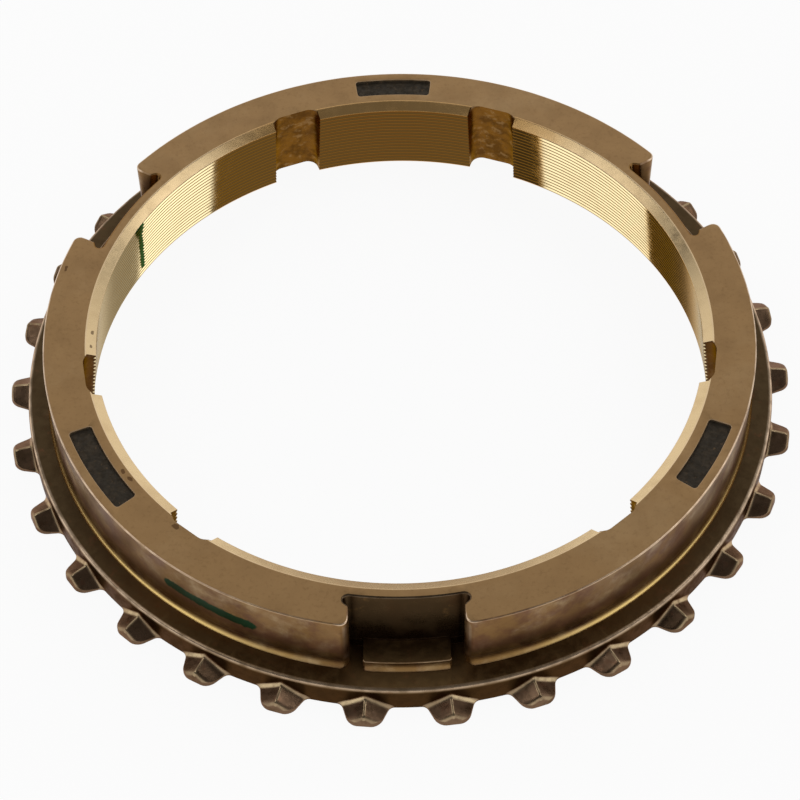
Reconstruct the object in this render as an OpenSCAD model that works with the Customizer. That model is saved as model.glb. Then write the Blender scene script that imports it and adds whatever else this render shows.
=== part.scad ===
/* [Friction cone] */
// Diameter of the friction cone at the foot of its lead-in chamfer
cone_d = 71.6; // [64:0.2:80]
// Half angle of the friction cone
cone_half_angle = 8; // [6:0.25:10]
// Distance from one friction groove to the next
thread_pitch = 0.63; // [0.5:0.01:1]
// Depth of a friction groove
thread_depth = 0.3; // [0.1:0.05:0.4]
// Width of the land between two friction grooves
thread_land = 0.16; // [0.1:0.02:0.3]
// Radial width of the lead-in chamfer
chamfer_w = 1.2; // [0.6:0.1:1.8]
// Height of the lead-in chamfer
chamfer_h = 0.65; // [0.3:0.05:1.2]

/* [Collar] */
// Height of the whole ring
height = 11.95; // [9.5:0.05:14.5]
// Thickness of the collar from the friction cone to its outer wall
collar_wall = 6.2; // [5.4:0.1:8]
// Break on the collar's top outer edge
collar_break = 0.25; // [0.1:0.05:0.5]
// Radius of the hollow at the foot of the collar
foot_r = 0.8; // [0.5:0.05:1.2]
// Width of the hollow at the foot of the collar
foot_w = 0.35; // [0.1:0.05:0.45]
// Step from the shoulder up to the edge of the hollow
foot_step = 0.12; // [0.05:0.01:0.3]

/* [Flange] */
// Height of the flange
flange_h = 3.65; // [2.8:0.05:4.4]
// Width of the shoulder from the collar to the flange's rim
shoulder_w = 2.85; // [2:0.05:4]
// Rounding of the flange's top rim
flange_round = 0.5; // [0.2:0.05:0.8]
// Break on the flange's bottom rim
flange_break = 0.25; // [0.1:0.05:0.4]
// Width of the flat ring under the flange that the part rests on
rest_w = 4; // [3:0.1:5]
// Step from that ring up to the lower end of the friction cone
rest_step = 0.45; // [0.2:0.05:0.8]

/* [Blocker teeth] */
// Number of teeth
tooth_count = 30; // [24:3:36]
// Height of a tooth beyond the flange's rim
tooth_h = 2.55; // [1.5:0.05:3.5]
// Width of a tooth at its root
tooth_root_w = 5.4; // [3.5:0.1:6]
// Width of a tooth at its tip
tooth_tip_w = 3.4; // [2.4:0.1:4]
// Rounding of the corners at the tip
tooth_tip_r = 0.9; // [0.3:0.05:1.1]
// Height of the ridge of a tooth's pointed top at the flange
ridge_h = 2.1; // [1.6:0.1:2.6]
// How far the ridge falls on its way to the tip
ridge_drop = 0.3; // [0:0.05:0.6]
// Angle between the two slopes of the pointed top
roof_angle = 110; // [100:1:130]
// How far the tip leans in from its foot to its ridge
tip_lean = 0.2; // [0.1:0.05:0.8]

/* [Key slots] */
// Width of a key slot
slot_w = 12.6; // [10:0.1:15]
// Wall left between the friction cone and a key slot
slot_wall = 2.4; // [1.9:0.1:3]
// Height of the stub left at the slot's floor, above the shoulder
stub_h = 1.2; // [0.6:0.1:2]
// Width of the channel on each side of the stub
channel_w = 1.4; // [1:0.1:2]
// Radius of the relief in the slot's inner corners
relief_r = 0.6; // [0.4:0.05:0.9]
// Rounding of the collar's corners at the slot's mouth
mouth_r = 0.9; // [0.4:0.05:1.2]

/* [Oil grooves] */
// Width of an oil groove
groove_w = 6; // [4:0.1:7]
// Depth of an oil groove below the friction cone, halfway up
groove_depth = 1.8; // [1.2:0.1:2.2]
// Rounding in the corners of an oil groove
groove_r = 1.4; // [0.4:0.05:1.8]
// Angle between the two oil grooves that lie between two key slots
groove_spread = 40; // [32:1:60]
// Angle between an oil groove's floor and the axis
groove_lean = 10; // [7:0.25:12]

/* [Marking pockets] */
// Width of a pocket across the collar's top face
pocket_w = 2.7; // [2:0.1:3]
// Depth of a pocket
pocket_depth = 0.4; // [0.2:0.05:0.8]
// Rounding of a pocket's corners
pocket_r = 0.4; // [0.2:0.05:0.8]
// Length of the pocket on the left of the front slot
left_pocket_l = 11.8; // [7:0.1:13]
// Length of the pocket on the right of the front slot
right_pocket_l = 9.8; // [7:0.1:13]
// Length of the pocket opposite the front slot
back_pocket_l = 9.4; // [7:0.1:13]

/* [Hidden] */
// Fineness of the turned surfaces
$fn = 180;
// Key slots, and the marking pockets between them
slot_count = 3;
// Segments in a small rounded corner
corner_steps = 4;
// Segments along a pocket's curved sides
pocket_steps = 6;
// Overrun of a cut past the face it opens
overrun = 2;

cone_top_z = height - chamfer_h;
chamfer_r = cone_d / 2 + chamfer_w;
collar_r = cone_d / 2 + collar_wall;
flange_r = collar_r + shoulder_w;
tip_r = flange_r + tooth_h;
rest_r = flange_r - rest_w;
thread_count = floor((cone_top_z - rest_step) / thread_pitch);
stub_z = flange_h + stub_h;
foot_z = flange_h + foot_step;
// Angle that the hollow at the collar's foot sweeps from the wall outwards
foot_sweep = acos(1 - foot_w / foot_r);
tooth_pitch = 360 / tooth_count;
slot_pitch = 360 / slot_count;
pocket_mid_r = (chamfer_r + collar_r) / 2;
// A tooth starts this far inside the flange's rim
tooth_sink = shoulder_w / 2;
// Share of its radius by which a corner relief stands off the wall behind the slot
relief_out = 0.9;

// Radius of the friction cone at a height
function cone_r(z) = cone_d / 2 + (cone_top_z - z) * tan(cone_half_angle);

function unit(v) = v / norm(v);

function short_turn(a) = a > 180 ? a - 360 : a < -180 ? a + 360 : a;

// Arc that rounds the corner b between the sides b-a and b-c
function corner(a, b, c, r) =
    let (
        u = unit(a - b),
        v = unit(c - b),
        half = acos(u * v) / 2,
        middle = b + unit(u + v) * r / sin(half),
        from = b + u * r / tan(half) - middle,
        to = b + v * r / tan(half) - middle,
        start = atan2(from.y, from.x),
        sweep = short_turn(atan2(to.y, to.x) - start)
    )
    [for (i = [0 : corner_steps])
        middle + r * [cos(start + sweep * i / corner_steps), sin(start + sweep * i / corner_steps)]];

// Point of a plan outline from its radius and its angle off the front, -Y
function polar(r, a) = [r * sin(a), -r * cos(a)];

// Half section of the ring, from the foot of the bore round to the friction grooves
function flange_section() = concat(
    [[cone_r(rest_step), rest_step], [rest_r, rest_step], [rest_r, 0]],
    [[flange_r - flange_break, 0], [flange_r, flange_break]],
    corner([flange_r, 0], [flange_r, flange_h], [collar_r, flange_h], flange_round));

function collar_section() = concat(
    [[collar_r + foot_w, flange_h]],
    [for (i = [corner_steps : -1 : 0])
        let (a = foot_sweep * i / corner_steps)
        [collar_r + foot_r * (1 - cos(a)), foot_z + foot_r * (sin(foot_sweep) - sin(a))]],
    [[collar_r, height - collar_break], [collar_r - collar_break, height], [chamfer_r, height]]);

function thread_section() = [
    for (i = [0 : thread_count - 1])
        let (
            land_z = cone_top_z - i * thread_pitch,
            edge_z = land_z - thread_land,
            root_z = (edge_z + land_z - thread_pitch) / 2
        )
        each [[cone_r(land_z), land_z], [cone_r(edge_z), edge_z], [cone_r(root_z) + thread_depth, root_z]]];

function thread_end() = let (z = cone_top_z - thread_count * thread_pitch) [[cone_r(z), z]];

module turned_body()
    rotate_extrude()
        polygon(concat(flange_section(), collar_section(), thread_section(), thread_end()));

// One tooth at the front, pointing along -Y, before its tip is leaned in
module tooth() {
    root = -(flange_r - tooth_sink);
    // The sides keep their slope on the way into the flange
    side_slope = (tooth_root_w - tooth_tip_w) / 2 / tooth_h;
    inner_half = tooth_root_w / 2 + side_slope * tooth_sink;
    tip_half = tooth_tip_w / 2;
    right = corner([inner_half, root], [tip_half, -tip_r], [-tip_half, -tip_r], tooth_tip_r);
    left = corner([tip_half, -tip_r], [-tip_half, -tip_r], [-inner_half, root], tooth_tip_r);
    eave_drop = inner_half / tan(roof_angle / 2);
    ridge_fall = atan(ridge_drop / tooth_h);
    intersection() {
        linear_extrude(height = ridge_h + overrun)
            polygon(concat([[-inner_half, root], [inner_half, root]], right, left));
        translate([0, -flange_r, 0])
            rotate([90 + ridge_fall, 0, 0])
                translate([0, 0, -tooth_sink - overrun])
                    linear_extrude(height = tooth_sink + tooth_h + 2 * overrun)
                        polygon([
                            [-inner_half, -overrun],
                            [inner_half, -overrun],
                            [inner_half, ridge_h - eave_drop],
                            [0, ridge_h],
                            [-inner_half, ridge_h - eave_drop]]);
    }
}

module teeth() {
    lean = tip_lean / ridge_h * overrun;
    intersection() {
        for (i = [0 : tooth_count - 1])
            rotate([0, 0, (i + 0.5) * tooth_pitch])
                tooth();
        translate([0, 0, -overrun])
            cylinder(h = ridge_h + 2 * overrun, r1 = tip_r + lean, r2 = tip_r - tip_lean - lean);
    }
}

// Space outside the wall that backs the key slots, between two heights
module behind_slot_wall(outline, z0, z1)
    difference() {
        translate([0, 0, z0])
            linear_extrude(height = z1 - z0)
                polygon(outline);
        translate([0, 0, -overrun])
            cylinder(
                h = height + 2 * overrun,
                r1 = cone_r(-overrun) + slot_wall,
                r2 = cone_r(height + overrun) + slot_wall);
    }

// Outline of the slot, with its mouth flared by the rounded corners of the collar
function slot_outline() =
    let (
        half = slot_w / 2,
        mouth_y = -sqrt(pow(collar_r, 2) - pow(half, 2)),
        outer_y = -(collar_r + overrun),
        flare = mouth_r + overrun,
        right = corner([half, 0], [half, mouth_y], [half + flare, mouth_y], mouth_r),
        left = corner([-half - flare, mouth_y], [-half, mouth_y], [-half, 0], mouth_r)
    )
    concat(
        [[-half, 0], [half, 0]],
        right,
        [[half + mouth_r, outer_y], [-half - mouth_r, outer_y]],
        left);

// Relief in the slot's inner corner on one side, leaning with the wall behind it
module corner_relief(side) {
    half = slot_w / 2;
    corner_y = -sqrt(pow(cone_r(flange_h) + slot_wall, 2) - pow(half, 2));
    intersection() {
        translate([side * half, corner_y - relief_r * relief_out, flange_h])
            rotate([-cone_half_angle, 0, 0])
                translate([0, 0, -overrun])
                    cylinder(h = height + 2 * overrun, r = relief_r, $fn = 32);
        translate([-collar_r, -2 * collar_r, flange_h])
            cube([2 * collar_r, 2 * collar_r, height]);
    }
}

// Channel between the stub and one side of the slot, down to the shoulder
function channel_outline(side) =
    let (outer = slot_w / 2, inner = outer - channel_w, far_y = -(collar_r + foot_w + overrun / 2))
    [[side * inner, 0], [side * outer, 0], [side * outer, far_y], [side * inner, far_y]];

module key_slot() {
    behind_slot_wall(slot_outline(), stub_z, height + overrun);
    for (side = [-1, 1]) {
        behind_slot_wall(channel_outline(side), flange_h, stub_z + overrun);
        corner_relief(side);
    }
}

// Flat-floored groove that leans a little more than the friction cone
module oil_groove() {
    half = groove_w / 2;
    // Room to clear the bore on the open side of the groove
    inner = collar_wall;
    right = corner([half, inner], [half, -groove_depth], [-half, -groove_depth], groove_r);
    left = corner([half, -groove_depth], [-half, -groove_depth], [-half, inner], groove_r);
    translate([0, -cone_r(height / 2), height / 2])
        rotate([-groove_lean, 0, 0])
            translate([0, 0, -height / 2 - overrun])
                linear_extrude(height = height + 2 * overrun)
                    polygon(concat([[-half, inner], [half, inner]], right, left));
}

// Points along one long side of a pocket, laid out straight
function pocket_side(length, v, way) =
    [for (i = [1 : pocket_steps - 1]) [way * length * (i / pocket_steps - 0.5), v]];

// Outline of a pocket laid out straight: along the collar, then across it
function flat_pocket(length) =
    let (
        u = length / 2,
        v = pocket_w / 2,
        p = [[-u, -v], [u, -v], [u, v], [-u, v]]
    )
    concat(
        corner(p[3], p[0], p[1], pocket_r),
        pocket_side(length, -v, 1),
        corner(p[0], p[1], p[2], pocket_r),
        corner(p[1], p[2], p[3], pocket_r),
        pocket_side(length, v, -1),
        corner(p[2], p[3], p[0], pocket_r));

// Pocket that follows the collar round, centred on the front
module pocket(length)
    translate([0, 0, height - pocket_depth])
        linear_extrude(height = pocket_depth + overrun)
            polygon([for (p = flat_pocket(length))
                polar(pocket_mid_r + p.y, p.x / pocket_mid_r * 180 / PI)]);

module synchronizer_ring()
    color([0.55, 0.44, 0.29])
        difference() {
            union() {
                turned_body();
                teeth();
            }
            for (i = [0 : slot_count - 1]) {
                rotate([0, 0, i * slot_pitch])
                    key_slot();
                for (side = [-1, 1])
                    rotate([0, 0, (i + 0.5) * slot_pitch + side * groove_spread / 2])
                        oil_groove();
            }
            rotate([0, 0, -slot_pitch / 2])
                pocket(left_pocket_l);
            rotate([0, 0, slot_pitch / 2])
                pocket(right_pocket_l);
            rotate([0, 0, 180])
                pocket(back_pocket_l);
        }

synchronizer_ring();
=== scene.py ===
from math import acos, asin, atan2, copysign, cos, hypot, pi, radians, sin, sqrt, tan, tau

import bmesh
import bpy
import numpy as np
from mathutils import Matrix, Vector
from mathutils.geometry import delaunay_2d_cdt


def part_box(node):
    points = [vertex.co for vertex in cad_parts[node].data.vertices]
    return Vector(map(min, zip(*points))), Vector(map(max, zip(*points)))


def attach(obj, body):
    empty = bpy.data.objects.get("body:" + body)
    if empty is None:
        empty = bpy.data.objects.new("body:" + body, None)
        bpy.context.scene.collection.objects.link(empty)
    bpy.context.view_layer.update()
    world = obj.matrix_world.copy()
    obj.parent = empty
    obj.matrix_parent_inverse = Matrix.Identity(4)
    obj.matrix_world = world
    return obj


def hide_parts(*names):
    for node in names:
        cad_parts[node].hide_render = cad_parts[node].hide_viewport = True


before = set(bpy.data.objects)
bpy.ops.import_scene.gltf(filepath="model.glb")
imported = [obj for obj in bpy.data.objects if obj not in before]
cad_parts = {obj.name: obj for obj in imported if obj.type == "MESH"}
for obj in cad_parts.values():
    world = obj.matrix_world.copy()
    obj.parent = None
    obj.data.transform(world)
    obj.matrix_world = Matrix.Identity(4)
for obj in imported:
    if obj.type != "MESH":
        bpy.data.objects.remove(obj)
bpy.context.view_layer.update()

bl_info = {
    "name": "Synchronizer Ring",
    "version": (1, 0, 0),
    "blender": (4, 5, 0),
    "location": "View3D > Sidebar > Ring",
    "description": "Builds a forged and turned brass synchronizer ring and a plain studio around it",
    "category": "Add Mesh",
}

NODE = "synchronizer_ring"
PIECE = "ring_body"
BODY = "root"
MM = 0.001
RING_LOW, RING_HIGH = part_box(NODE)
# Points closer than this are one point, and edges steeper than this stay sharp
WELD = 2e-7
SHARP = radians(33)
# Length of one degree in millimetres, round the collar's wall, its face and the bore
WALL_DEGREE = 0.733
FACE_DEGREE = 0.65
BORE_DEGREE = 0.63
# Share of plain white in what is seen of the floor, and how much darker its faint mottling is
FLOOR_WHITE = 0.93
FLOOR_MOTTLE = 0.985

# Finishes of the ring's faces, in the order of its material slots
TOP, CHAMFER, WALL, BORE, GROOVE, KEYWAY, FORGED, TOOTH, POCKET = range(9)


def length(name, mm, description):
    return bpy.props.FloatProperty(
        name=name, description=description, default=mm * MM, min=0.0,
        precision=5, subtype="DISTANCE", unit="LENGTH")


def turn(name, degrees, description):
    return bpy.props.FloatProperty(
        name=name, description=description, default=radians(degrees), subtype="ANGLE", unit="ROTATION")


def colour(name, red, green, blue, description):
    return bpy.props.FloatVectorProperty(
        name=name, description=description, default=(red, green, blue), min=0.0, max=1.0,
        size=3, subtype="COLOR")


def factor(name, value, description):
    return bpy.props.FloatProperty(
        name=name, description=description, default=value, min=0.0, max=1.0, subtype="FACTOR")


class RingSizes(bpy.types.PropertyGroup):
    """Sizes of the ring"""

    height: length("Height", (RING_HIGH.z - RING_LOW.z) / MM, "Height of the whole ring")
    tip_r: length("Tip radius", (RING_HIGH.x - RING_LOW.x) / 2 / MM, "Radius to the tips of the teeth")
    cone_r: length("Cone radius", 35.8, "Radius of the friction cone at the foot of its lead-in chamfer")
    chamfer_w: length("Chamfer width", 1.2, "Radial width of the lead-in chamfer")
    chamfer_h: length("Chamfer height", 0.65, "Height of the lead-in chamfer")
    thread_pitch: length("Friction groove pitch", 0.63, "Distance from one friction groove to the next")
    thread_depth: length("Friction groove depth", 0.3, "Depth of a friction groove")
    thread_land: length("Friction groove land", 0.16, "Width of the land between two friction grooves")
    collar_r: length("Collar radius", 42.0, "Radius of the collar's outer wall")
    collar_round: length("Collar edge", 0.2, "Rounding of the collar's top edges")
    foot_r: length("Foot radius", 1.415, "Radius of the hollow at the foot of the collar")
    foot_w: length("Foot width", 0.45, "Width of the hollow at the foot of the collar")
    foot_step: length("Foot step", 0.05, "Step from the shoulder up to the edge of the hollow")
    flange_r: length("Flange radius", 44.85, "Radius of the flange between the teeth")
    flange_h: length("Flange height", 3.65, "Height of the flange")
    flange_round: length("Flange rim", 0.5, "Rounding of the flange's top rim")
    rest_w: length("Rest width", 4.0, "Width of the flat ring under the flange that the part rests on")
    rest_step: length("Rest step", 0.45, "Step from that ring up to the lower end of the friction cone")
    slot_half: length("Slot half width", 6.3, "Half of the width of a key slot")
    slot_wall: length("Slot wall", 2.4, "Wall left between the friction cone and a key slot")
    mouth_round: length("Slot mouth", 0.9, "Rounding of the collar's corners at a slot's mouth")
    stub_h: length("Stub height", 1.2, "Height of the stub on a slot's floor, above the shoulder")
    stub_half: length("Stub half width", 4.9, "Half of the width of the stub on a slot's floor")
    stub_round: length("Stub edge", 0.1, "Rounding of the stub's top edges")
    groove_half: length("Oil groove half width", 3.0, "Half of the width of an oil groove")
    groove_depth: length("Oil groove depth", 1.8, "Depth of an oil groove below the cone, halfway up")
    groove_round: length("Oil groove corner", 1.4, "Rounding in the corners of an oil groove")
    tooth_root: length("Tooth root half width", 2.7, "Half of the width of a tooth at the flange")
    tooth_tip: length("Tooth tip half width", 1.7, "Half of the width of a tooth at its tip")
    tooth_ridge: length("Tooth ridge height", 2.1, "Height of the ridge of a tooth at the flange")
    ridge_drop: length("Tooth ridge drop", 0.3, "How far the ridge of a tooth falls on its way to the tip")
    tooth_lean: length("Tooth tip lean", 0.2, "How far a tooth's tip leans in from its foot to its ridge")
    tooth_round: length("Tooth edge", 0.3, "Rounding along a tooth's ridge and eaves")
    tip_corner: length("Tooth tip corner", 0.9, "Rounding of a tooth's corners at the tip, seen from above")
    tip_round: length("Tooth tip edge", 0.4, "Rounding of the top edge at a tooth's tip")
    root_round: length("Tooth root fillet", 0.45, "Fillet where a tooth meets the flange")
    foot_break: length("Bottom edge", 0.12, "Break along the bottom edge of the flange and teeth")
    pocket_w: length("Pocket width", 2.7, "Width of a pocket across the collar's face")
    pocket_depth: length("Pocket depth", 0.4, "Depth of a pocket")
    pocket_round: length("Pocket corner", 0.4, "Rounding of a pocket's corners")
    left_pocket: length("Left pocket", 11.8, "Length of the pocket on the left of the front slot")
    right_pocket: length("Right pocket", 9.8, "Length of the pocket on the right of the front slot")
    back_pocket: length("Back pocket", 9.4, "Length of the pocket opposite the front slot")


class RingCounts(bpy.types.PropertyGroup):
    """Counts and angles of the ring"""

    teeth: bpy.props.IntProperty(name="Teeth", description="Number of blocker teeth", default=30, min=3)
    slots: bpy.props.IntProperty(name="Slots", description="Number of key slots", default=3, min=1)
    cone_angle: turn("Cone half angle", 8, "Half angle of the friction cone")
    roof_half: turn("Roof half angle", 55, "Half of the angle between the two slopes of a tooth")
    groove_offset: turn("Oil groove offset", 20, "Angle from the middle between two slots to an oil groove")
    groove_lean: turn("Oil groove lean", 10, "Angle between an oil groove's floor and the axis")


class RingColours(bpy.types.PropertyGroup):
    """Colours of the ring's finishes"""

    tan: colour("Turned tan", 0.31, 0.187, 0.083, "Satin brass of the turned face")
    brown: colour("Aged brown", 0.18, 0.10, 0.042, "Darker patches on the turned faces")
    wall: colour("Collar brown", 0.26, 0.14, 0.046, "Brass of the collar's wall")
    oxide: colour("Red oxide", 0.15, 0.062, 0.032, "Reddish oxide on the collar's wall")
    pale: colour("Chamfer brass", 0.72, 0.56, 0.33, "Fresh brass of the lead-in chamfer")
    gold: colour("Bore gold", 0.72, 0.59, 0.34, "Bright brass of the friction cone")
    # Orange-brown tint with painted shade, for the back of the cone and chamfer and the cone's right side
    amber: colour("Bore amber", 0.72, 0.36, 0.07, "Tinted brass at the back of the friction cone")
    # Painted shade: this colour darkens the lands and the roots of the friction grooves
    land: colour("Bore land", 0.10, 0.045, 0.01, "Darker lands between the friction grooves")
    bronze: colour("Groove bronze", 0.18, 0.078, 0.017, "Walls of the oil grooves")
    # Polished brass, used as a painted highlight in the hollow at the collar's foot
    foot: colour("Foot brass", 0.92, 0.66, 0.25, "Polished hollow at the collar's foot")
    char: colour("Flange char", 0.028, 0.013, 0.004, "Dark scale on the flange's wall")
    umber: colour("Groove umber", 0.07, 0.03, 0.012, "Dark oxide in the oil grooves and slots")
    # Dark brass of the slots' walls, partly painted shade of the deep slots
    shade: colour("Slot brown", 0.058, 0.035, 0.016, "Broached walls of the key slots")
    scale: colour("Forging scale", 0.075, 0.049, 0.024, "Dark oxide left by forging")
    copper: colour("Tooth copper", 0.17, 0.105, 0.064, "Burnished metal of the teeth")
    # Pale metal of edges marked by rubbing, also the colour of painted edge highlights
    rubbed: colour("Rubbed metal", 0.78, 0.59, 0.42, "Metal that shows on rubbed edges")
    soot: colour("Pocket soot", 0.027, 0.019, 0.010, "Dark rough floor of the pockets")
    ink: colour("Green ink", 0.006, 0.042, 0.012, "Marking ink")
    scale_glance: colour("Scale glance", 0.72, 0.58, 0.52, "Tint of forged metal at a flat angle")
    bore_glance: colour("Bore glance", 0.76, 0.54, 0.32, "Tint of the friction cone at a flat angle")
    groove_glance: colour("Groove glance", 0.82, 0.64, 0.42, "Tint of the oil grooves at a flat angle")


class StudioSettings(bpy.types.PropertyGroup):
    """Light and floor of the studio"""

    glow: bpy.props.FloatProperty(
        name="Soft boxes", description="Brightness of the soft boxes' faces, where 1 is white",
        default=1.6, min=0.0)
    back: factor("Back", 0.95, "Brightness of the room high at the back")
    overhead: factor("Overhead", 0.16, "Brightness of the room overhead and at the front")
    left: factor("Left", 0.055, "Brightness of the room high at the left")
    right: factor("Right", 0.42, "Brightness of the room high at the right")
    floor: colour("Floor", 0.95, 0.95, 0.95, "Colour of the floor")


def plan(radius, angle):
    """Point at a radius and an angle off the front, -Y, towards +X"""
    return (radius * sin(angle), -radius * cos(angle))


def turned(point, angle):
    """Point given across and out from the axis, turned to its angle off the front"""
    across, out = point
    sine, cosine = sin(angle), cos(angle)
    return (across * cosine + out * sine, across * sine - out * cosine)


def spread(first, last, count):
    return [float(v) for v in np.linspace(first, last, count)]


def arc(across, out, radius, angles):
    """Points round a centre, at angles off the outward direction"""
    return [(across + radius * sin(t), out + radius * cos(t)) for t in angles]


def mirrored(points):
    return [(-across, out) for across, out in reversed(points)]


def inset_loop(points, distance):
    """Closed plan outline moved inwards by a distance"""
    p = np.array(points)
    tangent = np.roll(p, -1, axis=0) - np.roll(p, 1, axis=0)
    tangent /= np.linalg.norm(tangent, axis=1)[:, None]
    outwards = np.stack([tangent[:, 1], -tangent[:, 0]], axis=1)
    return [tuple(q) for q in p - distance * outwards]


def quarter(steps):
    """Sine and cosine along a quarter turn"""
    return [(sin(t), cos(t)) for t in spread(0, pi / 2, steps + 1)]


class Surface:
    """Points and faces of one closed surface, with the edge marks of rubbing and painted highlights, the
    painted shade and the finish of each
    """

    def __init__(self):
        self.points = []
        self.wear = []
        self.grime = []
        self.faces = []
        self.finish = []

    def add(self, points, wear=0.0, grime=0.0):
        start = len(self.points)
        self.points.extend(points)
        for store, value in ((self.wear, wear), (self.grime, grime)):
            store.extend(value if isinstance(value, list) else [value] * len(points))
        return list(range(start, len(self.points)))

    def level(self, outline, z, wear=0.0):
        return self.add([(x, y, z) for x, y in outline], wear)

    def face(self, corners, finish):
        self.faces.append(tuple(corners))
        self.finish.append(finish)

    def strip(self, first, second, finish):
        for i in range(len(first) - 1):
            self.face((first[i], first[i + 1], second[i + 1], second[i]), finish)

    def loft(self, first, second, finishes):
        count = len(first)
        for i in range(count):
            j = (i + 1) % count
            kind = finishes[i] if isinstance(finishes, list) else finishes
            self.face((first[i], first[j], second[j], second[i]), kind)

    def stack(self, loop, outline, z, finishes, wear=0.0):
        """Next level after a loop, with the faces between them"""
        row = self.level(outline, z, wear)
        self.loft(loop, row, finishes)
        return row

    def fill(self, outer, holes, finish):
        """Triangles of the flat region inside one loop and outside the others"""
        loops = [outer] + holes
        ids = [i for loop in loops for i in loop]
        flat = np.array([self.points[i][:2] for i in ids])
        edges = []
        start = 0
        for loop in loops:
            edges += [(start + k, start + (k + 1) % len(loop)) for k in range(len(loop))]
            start += len(loop)
        made = delaunay_2d_cdt([Vector(p) for p in flat], edges, [], 0, 1e-6, True)
        corners, triangles, origins = made[0], made[2], made[3]
        if any(not origin for origin in origins):
            raise RuntimeError("the outlines of a flat face cross")
        corner = np.array([tuple(c) for c in corners])
        middle = np.array([corner[list(t)].mean(axis=0) for t in triangles])
        a, b = flat[[e[0] for e in edges]], flat[[e[1] for e in edges]]
        spans = (a[None, :, 1] > middle[:, None, 1]) != (b[None, :, 1] > middle[:, None, 1])
        rise = np.where(a[:, 1] == b[:, 1], 1.0, b[:, 1] - a[:, 1])
        cross_x = a[:, 0] + (middle[:, None, 1] - a[:, 1]) / rise * (b[:, 0] - a[:, 0])
        inside = (spans & (middle[:, None, 0] < cross_x)).sum(axis=1) % 2 == 1
        for triangle, keep in zip(triangles, inside):
            if keep:
                self.face([ids[origins[k][0]] for k in triangle], finish)


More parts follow.
